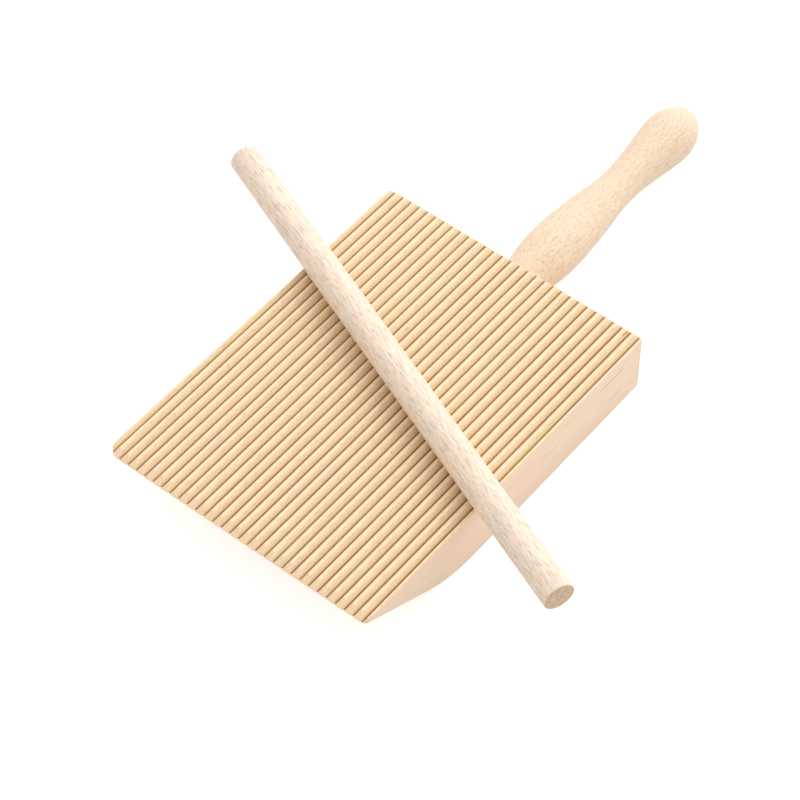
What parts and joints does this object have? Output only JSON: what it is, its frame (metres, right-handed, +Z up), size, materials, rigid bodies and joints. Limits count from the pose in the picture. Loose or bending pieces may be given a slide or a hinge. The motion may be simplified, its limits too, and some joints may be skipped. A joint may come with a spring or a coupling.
{
  "type": "gnocchi board",
  "caption": "Ribbed wooden board with a flat base, a bevelled thin front edge and a turned handle, with a loose plain rod lying across the ribs.",
  "frame": {"origin": "on the flat underside, at the middle of the board's length and width", "axes": "+X to the right seen from the front edge, +Y from the thin front edge towards the handle, +Z up out of the ribs"},
  "size_m": [0.2222, 0.2803, 0.0406],
  "materials": {
    "board_beech": "planed and sanded beech, unvarnished",
    "handle_beech": "turned and sanded beech, unvarnished",
    "rod_beech": "turned and sanded beech, unvarnished"
  },
  "bodies": {
    "board": {"ribbed_board": "board_beech", "handle": "handle_beech"},
    "rod": {"rolling_rod": "rod_beech"}
  },
  "joints": [
    {"name": "rod_lift", "type": "slide", "parent": "board", "child": "rod", "axis": [0, 0, 1], "range_m": [0, 0.06]}
  ]
}
